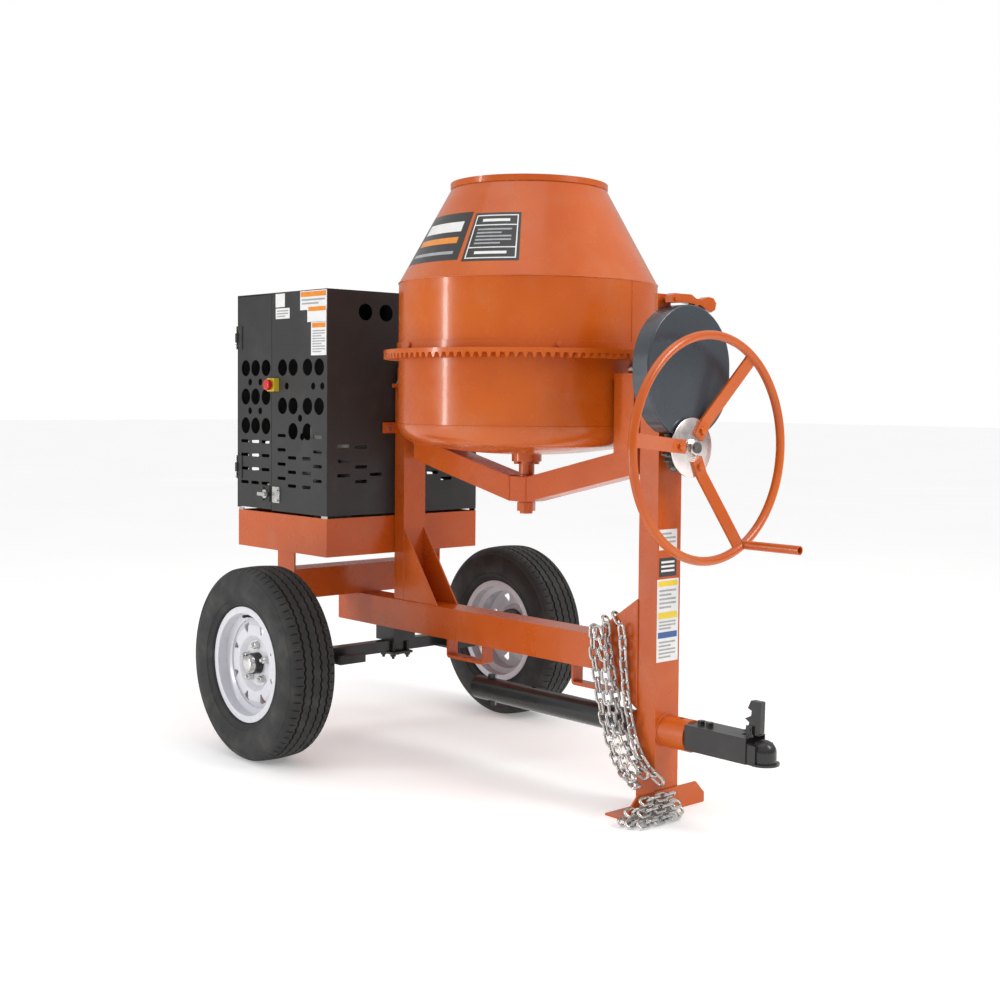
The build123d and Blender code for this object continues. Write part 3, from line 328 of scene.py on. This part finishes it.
# ---------------------------------------------------------------------------
# Mesh helpers.  Each maker returns (vertices, faces) of a closed shape.
# ---------------------------------------------------------------------------
class Shape:
    """Collects closed shapes, then becomes one object that rides on a body."""

    def __init__(self, name, body, slot, *materials):
        self.name, self.body, self.slot, self.materials = name, body, slot, materials
        self.verts, self.faces, self.kinds = [], [], []

    def add(self, made, matrix=None, kind=0):
        verts, faces = made
        first = len(self.verts)
        self.verts += [matrix @ Vector(v) for v in verts] if matrix else [Vector(v) for v in verts]
        self.faces += [tuple(first + k for k in face) for face in faces]
        self.kinds += [kind] * len(faces)
        return self

    def finish(self, angle=35.0, replaces=()):
        mesh = bpy.data.meshes.new(self.name)
        mesh.from_pydata(self.verts, [], self.faces)
        for material in self.materials:
            mesh.materials.append(material)
        mesh.polygons.foreach_set("material_index", self.kinds)
        work = bmesh.new()
        work.from_mesh(mesh)
        bmesh.ops.recalc_face_normals(work, faces=work.faces)
        work.to_mesh(mesh)
        work.free()
        mesh.polygons.foreach_set("use_smooth", [True] * len(mesh.polygons))
        mesh.set_sharp_from_angle(angle=math.radians(angle))
        obj = bpy.data.objects.new(self.name, mesh)
        bpy.context.scene.collection.objects.link(obj)
        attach(obj, self.body)
        if replaces:
            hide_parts(*replaces)
        return obj


def along(place, axis):
    """Matrix that puts a shape made about Z at a place, with Z turned to axis."""
    return Matrix.Translation(Vector(place)) @ Vector(axis).to_track_quat("Z", "Y").to_matrix().to_4x4()


def lofted(rings, closed=False):
    """Skin rings of equal length; the ends are capped unless the rings close on themselves."""
    count = len(rings[0])
    verts = [v for ring in rings for v in ring]
    faces = []
    pairs = range(len(rings) if closed else len(rings) - 1)
    for k in pairs:
        a, b = k * count, ((k + 1) % len(rings)) * count
        faces += [(a + i, a + (i + 1) % count, b + (i + 1) % count, b + i) for i in range(count)]
    if not closed:
        faces.append(tuple(reversed(range(count))))
        faces.append(tuple(range((len(rings) - 1) * count, len(rings) * count)))
    return verts, faces


def lathe(profile, steps=64, closed=False):
    """Spin (radius, height) pairs about Z."""
    rings = []
    for radius, height in profile:
        angles = [2 * math.pi * i / steps for i in range(steps)]
        rings.append([(radius * math.cos(a), radius * math.sin(a), height) for a in angles])
    return lofted(rings, closed)


def hexagon(flats, height, steps=48):
    """A nut or bolt head with chamfered corners on its upper side."""
    half = flats / 2
    angles = [2 * math.pi * i / steps for i in range(steps)]

    def corner(a):
        return half / math.cos((a + math.pi / 6) % (math.pi / 3) - math.pi / 6)

    top = half * 0.97
    rings = [[(corner(a) * math.cos(a), corner(a) * math.sin(a), 0.0) for a in angles]]
    rings.append([(corner(a) * math.cos(a), corner(a) * math.sin(a), height - (corner(a) - top) * 0.55)
                  for a in angles])
    rings.append([(top * math.cos(a), top * math.sin(a), height) for a in angles])
    return lofted(rings)


def threaded(radius, height, pitch=0.0018):
    """A stud end with rings for its thread and a bevelled tip."""
    profile = [(radius, 0.0)]
    turns = max(1, int((height - radius * 0.25) / pitch))
    for k in range(turns):
        profile += [(radius, (k + 0.2) * pitch), (radius * 0.88, (k + 0.5) * pitch),
                    (radius, (k + 0.8) * pitch)]
    profile += [(radius, height - radius * 0.2), (radius * 0.8, height)]
    return lathe(profile, 20)


def tube(path, radius, sides=8, loop=False, ripple=0.0, pitch=0.0):
    """A round rod along points; ripple and pitch give the scales of a weld bead."""
    points = [Vector(p) for p in path]
    rings, side, travelled = [], None, 0.0
    for k, point in enumerate(points):
        before = points[k - 1] if (k or loop) else point
        after = points[(k + 1) % len(points)] if (k < len(points) - 1 or loop) else point
        heading = (after - before).normalized()
        if side is None:
            side = heading.orthogonal().normalized()
        side = (side - heading * side.dot(heading)).normalized()
        other = heading.cross(side)
        travelled += (point - points[k - 1]).length if k else 0.0
        swell = 1.0 + ripple * math.cos(2 * math.pi * travelled / pitch) if pitch else 1.0
        r = radius * swell
        turns = [2 * math.pi * i / sides for i in range(sides)]
        rings.append([point + side * (r * math.cos(a)) + other * (r * math.sin(a)) for a in turns])
    return lofted(rings, closed=loop)


def stepped(start, end, step):
    start, end = Vector(start), Vector(end)
    count = max(2, int((end - start).length / step))
    return [start.lerp(end, i / count) for i in range(count + 1)]


def circle(place, axis, radius, step, first=0.0, sweep=360.0):
    """Points of an arc about an axis; a whole turn leaves out its last point."""
    turn = along(place, axis)
    count = max(12, int(radius * math.radians(sweep) / step))
    last = count if sweep >= 360.0 else count + 1
    return [turn @ Vector((radius * math.cos(a), radius * math.sin(a), 0))
            for a in (math.radians(first + sweep * i / count) for i in range(last))]


# ---------------------------------------------------------------------------
# Road wheels
# ---------------------------------------------------------------------------
TREAD_PITCHES = 72
TREAD_STEPS = (0.0, 0.05, 0.11, 0.16, 0.30, 0.50, 0.66, 0.82)
SIPE_STEPS = (1, 2)


def tread_columns(radius):
    """Half of the tread as (offset, radius, zigzag share, sipe depth), centre outward."""
    def crown(y):
        return radius - 0.0032 * (y / 0.058) ** 2

    floor = 0.0075
    columns = [(0.0, crown(0), 0.0, 0.0)]
    for near, far in ((0.0118, 0.0182), (0.0385, 0.0455)):
        columns += [(near, crown(near), 1.0, 0.0), (near + 0.0012, crown(near) - floor, 1.0, 0.0),
                    (far - 0.0012, crown(far) - floor, 1.0, 0.0), (far, crown(far), 1.0, 0.0)]
        columns.append(((far + 0.0015) if far < 0.03 else 0.0485, crown(far + 0.002), 0.7, 0.0))
    columns += [(0.0520, crown(0.052), 0.0, 0.0035), (0.0580, crown(0.058), 0.0, 0.0045),
                (0.0640, radius - 0.0062, 0.0, 0.0040), (0.0690, radius - 0.0100, 0.0, 0.0020)]
    return columns


def wall_columns():
    """Outer sidewall from shoulder to bead, then the liner back to the centre."""
    outer = [(0.0722, 0.2915), (0.0765, 0.2850), (0.0795, 0.2790), (0.0808, 0.2782), (0.0812, 0.2755),
             (0.0806, 0.2748), (0.0840, 0.2650), (0.0862, 0.2540), (0.0870, 0.2430), (0.0866, 0.2310),
             (0.0848, 0.2200), (0.0822, 0.2110), (0.0829, 0.2102), (0.0824, 0.2062), (0.0806, 0.2056),
             (0.0775, 0.1990), (0.0740, 0.1940), (0.0752, 0.1930), (0.0742, 0.1895), (0.0705, 0.1870),
             (0.0650, 0.1850), (0.0616, 0.1832)]
    inner = [(0.0610, 0.1655), (0.0450, 0.1655), (0.0600, 0.1900), (0.0740, 0.2400),
             (0.0700, 0.2700), (0.0500, 0.2860), (0.0, 0.2880)]
    return [(y, r, 0.0, 0.0) for y, r in outer + inner]


def tyre_mesh(radius):
    half = tread_columns(radius) + wall_columns()
    mirrored = [(-y, r, -z, s) for y, r, z, s in reversed(half[1:-1])]
    columns = half + mirrored
    rings = []
    for turn in range(TREAD_PITCHES):
        for index, share in enumerate(TREAD_STEPS):
            angle = 2 * math.pi * (turn + share) / TREAD_PITCHES
            zigzag = 0.0024 * (1 - 4 * abs(share - 0.5))
            ring = []
            for y, r, zig, sipe in columns:
                depth = sipe if index in SIPE_STEPS else 0.0
                reach = r - depth
                ring.append((reach * math.cos(angle), y + zigzag * zig, reach * math.sin(angle)))
            rings.append(ring)
    return lofted(rings, closed=True)


def valve_mesh():
    """Rubber valve stem with a ribbed cap."""
    return lathe([(0.0075, 0), (0.0078, 0.004), (0.0058, 0.008), (0.0052, 0.018), (0.0038, 0.022),
                  (0.0038, 0.026), (0.0048, 0.027), (0.0048, 0.036), (0.0030, 0.039)], 20)


def add_wheel(side, outward):
    """Tyre, hub, cap, nuts and valve of one wheel; the disc and barrel stay CAD."""
    body = side + "_wheel"
    axle = centre(side + "_tyre")
    low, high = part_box(side + "_tyre")
    radius = (high.z - low.z) / 2
    tyre = Shape(side + "_tyre_tread", body, "tyre_rubber", TYRE_RUBBER)
    tyre.add(tyre_mesh(radius), Matrix.Translation(axle)).finish(48.0, replaces=[side + "_tyre"])
    axis = Vector((0, outward, 0))
    hub = Shape(side + "_hub_shell", body, "axle_black", AXLE_PAINT)
    shell = [(0.046, -0.042), (0.050, -0.038), (0.050, 0.0015), (0.0705, 0.002), (0.072, 0.0035),
             (0.072, 0.0138), (0.0365, 0.0138), (0.0345, 0.017), (0.0335, 0.022), (0.0335, 0.0405),
             (0.0318, 0.042)]
    hub.add(lathe(shell, 72), along(axle, axis)).finish(30.0, replaces=[side + "_hub"])
    cap = Shape(side + "_hub_cap", body, "zinc_steel", ZINC)
    cap.add(lathe([(0.0255, 0.0421), (0.0285, 0.0424), (0.0285, 0.0452), (0.0258, 0.0458), (0.0256, 0.0560),
                   (0.0240, 0.0595), (0.0205, 0.0610), (0.0100, 0.0618)], 56), along(axle, axis))
    for k in range(5):
        angle = math.radians(72 * k + 90)
        offset = Vector((0.057 * math.cos(angle), 0, 0.057 * math.sin(angle)))
        seat = axle + offset + axis * 0.0180
        cap.add(lathe([(0.0082, -0.002), (0.0118, 0.0012), (0.0118, 0.0026), (0.0095, 0.003)], 32),
                along(seat, axis))
        cap.add(hexagon(0.019, 0.0155), along(seat + axis * 0.0026, axis))
        cap.add(threaded(0.0058, 0.0085), along(seat + axis * 0.0178, axis))
    cap.finish(30.0)
    valve = Shape(side + "_valve", body, "tyre_rubber", BELT_RUBBER)
    valve.add(valve_mesh(), along(axle + Vector((0, 0, 0.152)) + axis * 0.0350, axis)).finish(30.0)


add_wheel("near", -1)
add_wheel("far", 1)


# ---------------------------------------------------------------------------
# Hand wheel hub: polished disc on its sleeve, zinc washer and nut, painted bolts
# ---------------------------------------------------------------------------
SPOKE_ANGLES = (175.0, 55.0, -65.0)
BOLT_CIRCLE = 0.056
SPOKE_FACE = 0.013       # from the back of the disc to the front of a spoke
HUB_FRONT = 0.021        # from the back of the disc to the front bolt heads


def spoke_way(angle):
    a = math.radians(angle)
    return Vector((0, math.cos(a), math.sin(a)))


def add_handwheel_hub():
    """Disc on its sleeve; the spokes lie on its face, under the bolts."""
    forward = Vector((1, 0, 0))
    low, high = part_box("handwheel_hub")
    back = WHEEL_AXIS.copy()
    back.x = high.x - HUB_FRONT
    reach = low.x - back.x
    disc = Shape("handwheel_disc", "handwheel", "shaft_steel", DISC_POLISH_AND_REFLECTION)
    disc.add(lathe([(0.0800, 0.0), (0.0818, 0.0008), (0.0818, 0.0042), (0.0804, 0.0050), (0.0160, 0.0050),
                    (0.0160, 0.0)], 96, closed=True), along(back, forward))
    disc.add(lathe([(0.0218, reach), (0.0218, -0.0002), (0.0152, -0.0002), (0.0152, reach)], 56, closed=True),
             along(back, forward)).finish(30.0, replaces=["handwheel_hub"])
    nut = Shape("handwheel_nut", "handwheel", "zinc_steel", ZINC)
    nut.add(lathe([(0.0155, 0.0051), (0.0245, 0.0051), (0.0252, 0.0058), (0.0252, 0.0076), (0.0244, 0.0082),
                   (0.0155, 0.0082)], 56, closed=True), along(back, forward))
    nut.add(hexagon(0.038, 0.0115), along(back + forward * 0.0083, forward)).finish(30.0)
    bolts = Shape("handwheel_bolts", "handwheel", "wheel_orange", WHEEL_PAINT)
    for angle in SPOKE_ANGLES:
        seat = back + spoke_way(angle) * BOLT_CIRCLE
        bolts.add(hexagon(0.019, 0.0075), along(seat + forward * SPOKE_FACE, forward))
        bolts.add(hexagon(0.019, 0.0042), along(seat, -forward))
    bolts.finish(30.0)


add_handwheel_hub()


# ---------------------------------------------------------------------------
# Weld beads
# ---------------------------------------------------------------------------
BEAD_STEP, BEAD_RIPPLE, BEAD_PITCH = 0.0016, 0.10, 0.0064
YOKE_TUBE_HIGH = 0.076
SEAM_GAP = (1.274, 1.314)    # the seam stops here, at the ring gear and its flange


def add_welds(name, body, slot, material, radius, runs, rings=()):
    """Beads along straight runs and around rings (place, axis, radius)."""
    shape = Shape(name, body, slot, material)
    for start, end in runs:
        shape.add(tube(stepped(start, end, BEAD_STEP), radius, 8, False, BEAD_RIPPLE, BEAD_PITCH))
    for place, axis, reach in rings:
        shape.add(tube(circle(place, axis, reach, BEAD_STEP), radius, 8, True, BEAD_RIPPLE, BEAD_PITCH))
    shape.finish(60.0)


def frame_runs():
    runs = []
    for side in (-1, 1):
        runs.append((at(1174, side * 49, 290), at(1174, side * 49, 588)))
        runs.append((at(101, side * 43, 474), at(101, side * 43, 706)))
        runs.append((at(52, side * 45, 470), at(100, side * 45, 470)))
        runs.append((at(105, side * 45, 470), at(272, side * 45, 470)))
        runs.append((at(-246, side * 45, 470), at(-150, side * 45, 470)))
        for x in (300, 484, 882, 1066):
            runs.append((at(x, -18, 370), at(x, 18, 370)))
    return runs


def yoke_runs():
    low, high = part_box("yoke_hub")
    half = high.y
    top = low.z + YOKE_TUBE_HIGH
    runs = []
    for x in (low.x, high.x):
        runs += [(Vector((x, s * half, low.z + 0.002)), Vector((x, s * half, top))) for s in (-1, 1)]
        runs.append((Vector((x, -half, top)), Vector((x, half, top))))
    return runs


DRUM_LOW, DRUM_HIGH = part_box("drum_cylinder")[0].z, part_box("drum_cylinder")[1].z
SEAM_ANGLE = math.radians(7.0)
SEAM_WAY = Vector((math.cos(SEAM_ANGLE), math.sin(SEAM_ANGLE), 0))


def on_drum_axis(height):
    return Vector((DRUM_AXIS.x, DRUM_AXIS.y, height))


add_welds("frame_welds", "frame", "frame_orange", FRAME_PAINT, 0.0032, frame_runs(),
          [(at(1244.5, 0, 228), (1, 0, 0), 0.0452)])
add_welds("yoke_welds", "yoke", "frame_orange", FRAME_PAINT, 0.0028, yoke_runs())
add_welds("drum_welds", "drum", "drum_orange", DRUM_PAINT, 0.0020,
          [(on_drum_axis(SEAM_GAP[1]) + SEAM_WAY * DRUM_R, on_drum_axis(DRUM_HIGH) + SEAM_WAY * DRUM_R),
           (on_drum_axis(DRUM_LOW) + SEAM_WAY * DRUM_R, on_drum_axis(SEAM_GAP[0]) + SEAM_WAY * DRUM_R)],
          [(on_drum_axis(DRUM_LOW), (0, 0, 1), DRUM_R), (on_drum_axis(DRUM_HIGH), (0, 0, 1), DRUM_R)])


# ---------------------------------------------------------------------------
# Plain labels: thin closed slabs with coloured bars, and no lettering
# ---------------------------------------------------------------------------
FILM = 0.0004


def slab(surface, u, v, level, steps=1, slant=0.0):
    """A slab over part of a surface; surface(u, v, h) gives a point h above it."""
    base, top = level * FILM, (level + 1) * FILM
    rings = []
    for k in range(steps + 1):
        low = u[0] + (u[1] - u[0]) * k / steps
        high = low + slant
        rings.append([surface(low, v[0], base), surface(high, v[1], base),
                      surface(high, v[1], top), surface(low, v[0], top)])
    return lofted(rings)


def add_label(name, body, slot, materials, surface, parts, steps=1):
    """Parts are (kind, level, u span, v span, slant)."""
    shape = Shape(name, body, slot, *materials)
    for kind, level, u, v, slant in parts:
        shape.add(slab(surface, u, v, level, steps, slant), kind=kind)
    shape.finish(30.0)


def rows(kind, u, low, high, count, fill=0.45):
    """Evenly spaced bars that stand for printed lines; every third one is shorter."""
    pitch = (high - low) / count
    made = []
    for k in range(count):
        right = u[1] if k % 3 else u[0] + (u[1] - u[0]) * 0.72
        base = low + pitch * (k + 0.25)
        made.append((kind, 1, (u[0], right), (base, base + pitch * fill), 0.0))
    return made


def on_housing(x, z, h):
    return at(x, 0, z) + Vector((0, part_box("housing_side_panels")[0].y - h, 0))


def on_post(y, z, h):
    return Vector((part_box("front_post")[1].x + h, y * MM, z * MM))


CONE_LOW, CONE_HIGH, MOUTH_R = 1491.0, 1776.0, 236.0


def on_cone(angle, z, h):
    """A point on the cone at an angle in degrees about the drum axis."""
    share = (z - CONE_LOW) / (CONE_HIGH - CONE_LOW)
    radius = DRUM_R + (MOUTH_R * MM - DRUM_R) * share + h
    turn = math.radians(angle)
    x, y = radius * math.cos(turn), radius * math.sin(turn)
    return Vector((DRUM_AXIS.x + x, DRUM_AXIS.y + y, z * MM + h * 0.5))


def add_labels():
    print_set = (LABEL_WHITE, LABEL_GREY, LABEL_AMBER)
    panels = [
        (0, 0, (-110, 43), (1431, 1493), 0.0), (2, 1, (-106, 39), (1474, 1490), 0.0),
        (0, 2, (-67, 42), (1391, 1443), 0.0), (2, 3, (-61, 38), (1426, 1440), 0.0),
        (0, 0, (-46, 41), (1282, 1390), 0.0), (2, 1, (-40, 36), (1372, 1387), 0.0),
    ]
    panels += rows(1, (-100, 33), 1446, 1470, 2) + rows(1, (-38, 33), 1290, 1366, 9)
    add_label("housing_labels", "frame", "housing_black", print_set, on_housing, panels)
    small = [(0, 0, (-258, -202), (1446, 1491), 0.0), (0, 0, (-257, -173), (1407, 1442), 0.0)]
    small += rows(1, (-250, -181), 1411, 1438, 3)
    add_label("housing_plates", "frame", "housing_black", print_set, on_housing, small)
    tall = [(0, 0, (-41, 32), (733, 790), 0.0), (3, 0, (-40, 31), (659, 711), 0.0),
            (0, 0, (-47, 41), (422, 652), 0.0), (4, 1, (-42, 36), (632, 647), 0.0),
            (4, 1, (-42, 36), (542, 560), 0.0), (5, 1, (-42, 36), (488, 505), 0.0)]
    tall += rows(1, (-36, 26), 738, 784, 4) + rows(1, (-38, 30), 568, 626, 5)
    tall += rows(1, (-38, 30), 510, 538, 3) + rows(1, (-38, 30), 430, 482, 5)
    tall += [(0, 1, (-32, 22), (low, low + 6), 0.0) for low in (672, 684, 696)]
    post_set = (LABEL_WHITE, LABEL_GREY, LABEL_AMBER, LABEL_BLACK, LABEL_YELLOW, LABEL_BLUE)
    add_label("post_labels", "frame", "frame_orange", post_set, on_post, tall)
    plate = [(0, 0, (-73.6, -46.7), (1533, 1677), 0.0), (1, 1, (-72.3, -48.0), (1540, 1543), 0.0),
             (1, 1, (-72.3, -48.0), (1667, 1670), 0.0), (1, 1, (-72.3, -71.7), (1540, 1670), 0.0),
             (1, 1, (-48.6, -48.0), (1540, 1670), 0.0), (1, 1, (-72.3, -48.0), (1638, 1641), 0.0),
             (1, 1, (-72.3, -48.0), (1571, 1574), 0.0)]
    plate += rows(2, (-69.5, -51.0), 1580, 1632, 5)
    plate += [(1, 1, (-68.0, -52.5), (1650, 1658), 0.0), (1, 1, (-68.0, -52.5), (1553, 1561), 0.0)]
    badge_set = (LABEL_BLACK, LABEL_WHITE, LABEL_GREY, LABEL_AMBER)
    add_label("drum_plate", "drum", "drum_orange", badge_set, on_cone, plate, 16)
    stripes = [(0, 0, (-120.0, -76.0), (1539, 1683), 0.0), (1, 1, (-114.0, -80.0), (1625, 1655), 0.0),
               (3, 1, (-114.0, -80.0), (1590, 1608), 0.0), (2, 1, (-114.0, -80.0), (1557, 1566), 0.0)]
    add_label("drum_stripes", "drum", "drum_orange", badge_set, on_cone, stripes, 24)


add_labels()


# ---------------------------------------------------------------------------
# Stage
# ---------------------------------------------------------------------------
def add_stage():
    floor_mesh = bpy.data.meshes.new("floor")
    reach = 60.0
    corners = [(-reach, -reach, 0), (reach, -reach, 0), (reach, reach, 0), (-reach, reach, 0)]
    floor_mesh.from_pydata(corners, [], [(0, 1, 2, 3)])
    floor = bpy.data.objects.new("floor", floor_mesh)
    bpy.context.scene.collection.objects.link(floor)
    f = Finish("pale_floor")
    f.base(f.mix(f.span(f.noise(0.6), 0.3, 0.7), (0.90, 0.90, 0.90), (0.93, 0.93, 0.93)))
    f.shader.inputs["Emission Color"].default_value = (1.0, 1.0, 1.0, 1.0)
    f.put(Roughness=0.75, Specular_IOR_Level=0.15, Emission_Strength=0.24)
    floor_mesh.materials.append(f.material)


def add_area(name, place, aim, size, power, color=(1, 1, 1)):
    data = bpy.data.lights.new(name, "AREA")
    data.shape = "RECTANGLE"
    data.size, data.size_y = size
    data.energy = power
    data.color = color
    lamp = bpy.data.objects.new(name, data)
    direction = Vector(aim) - Vector(place)
    lamp.matrix_world = Matrix.Translation(place) @ direction.to_track_quat("-Z", "Y").to_matrix().to_4x4()
    bpy.context.scene.collection.objects.link(lamp)


def add_lights():
    world = bpy.data.worlds.new("studio")
    world.use_nodes = True
    bpy.context.scene.world = world
    tree = world.node_tree
    sky = tree.nodes["Background"]
    height = tree.nodes.new("ShaderNodeSeparateXYZ")
    tree.links.new(tree.nodes.new("ShaderNodeTexCoord").outputs["Generated"], height.inputs["Vector"])
    ramp = tree.nodes.new("ShaderNodeMapRange")
    ramp.inputs["From Min"].default_value = -0.1
    ramp.inputs["From Max"].default_value = 0.7
    ramp.inputs["To Min"].default_value = 0.26
    ramp.inputs["To Max"].default_value = 0.86
    tree.links.new(height.outputs["Z"], ramp.inputs["Value"])
    seen = tree.nodes.new("ShaderNodeLightPath").outputs["Is Camera Ray"]
    pick = tree.nodes.new("ShaderNodeMath")
    pick.operation = "MAXIMUM"
    tree.links.new(seen, pick.inputs[0])
    tree.links.new(ramp.outputs["Result"], pick.inputs[1])
    sky.inputs["Color"].default_value = (1.0, 1.0, 1.0, 1.0)
    tree.links.new(pick.outputs["Value"], sky.inputs["Strength"])
    add_area("key", (3.6, 1.2, 3.4), (0.2, 0.0, 1.0), (1.4, 2.0), 80.0, (1.0, 0.97, 0.93))
    add_area("strip", (-1.6, -3.6, 1.3), (0.0, 0.0, 1.0), (0.30, 2.4), 45.0)
    add_area("top", (0.3, -0.6, 4.6), (0.2, 0.0, 0.8), (3.0, 3.0), 25.0)


add_stage()
add_lights()
